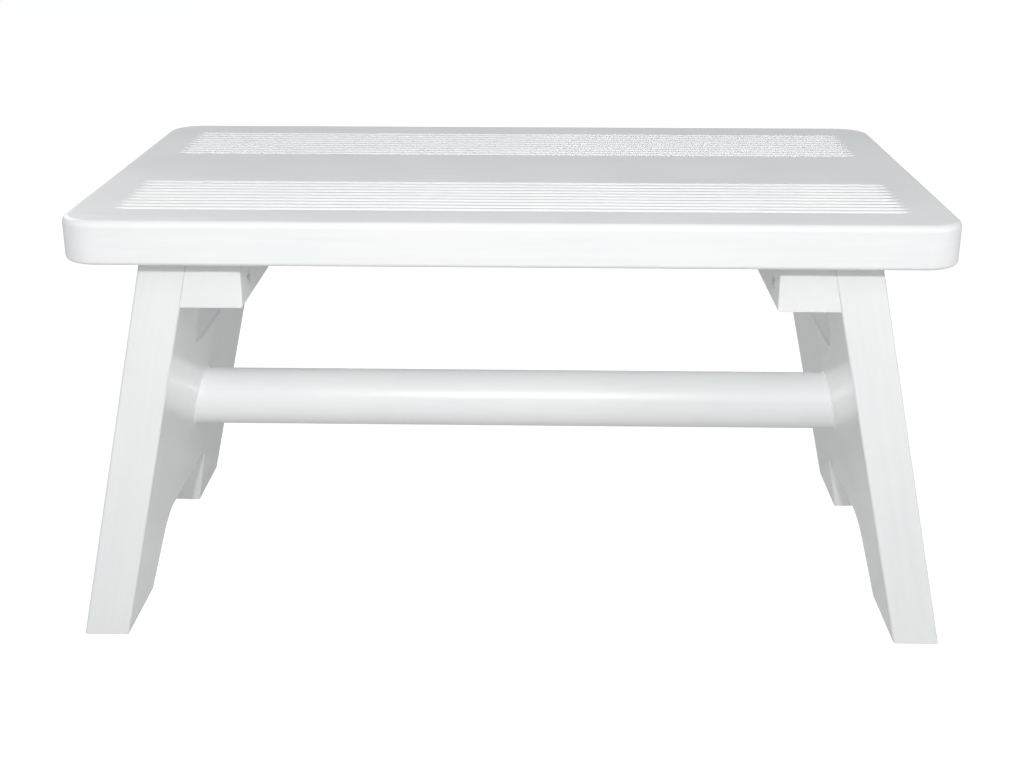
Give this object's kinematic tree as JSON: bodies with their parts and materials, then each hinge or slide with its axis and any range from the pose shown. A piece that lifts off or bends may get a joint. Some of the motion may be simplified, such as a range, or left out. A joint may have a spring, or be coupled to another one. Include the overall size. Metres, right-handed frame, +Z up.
{
  "type": "bath transfer bench",
  "caption": "Low rigid wooden bath bench or step: grooved anti-slip seat board on splayed plank legs with hand-hold slots, arched feet, cleats and a round stretcher rail.",
  "frame": {"origin": "on the floor, under the middle of the seat", "axes": "+X along the seat to the right-hand leg, +Y to the rear, +Z up; the front long edge faces -Y"},
  "size_m": [0.4214, 0.23, 0.213],
  "materials": {
    "white_lacquered_wood": "white semi-gloss lacquer over close-grained wood",
    "zinc_screw": "zinc-plated steel",
    "bare_beech": "bare beech pins, glued in and hidden"
  },
  "bodies": {
    "root": {"seat_board": "white_lacquered_wood", "stretcher": "white_lacquered_wood", "left_leg": "white_lacquered_wood", "left_cleat": "white_lacquered_wood", "left_rail_plug": "white_lacquered_wood", "right_leg": "white_lacquered_wood", "right_cleat": "white_lacquered_wood", "right_rail_plug": "white_lacquered_wood", "left_leg_screws": "zinc_screw", "left_seat_screws": "zinc_screw", "left_rail_screw": "zinc_screw", "right_leg_screws": "zinc_screw", "right_seat_screws": "zinc_screw", "right_rail_screw": "zinc_screw", "left_dowels": "bare_beech", "right_dowels": "bare_beech"}
  },
  "joints": []
}
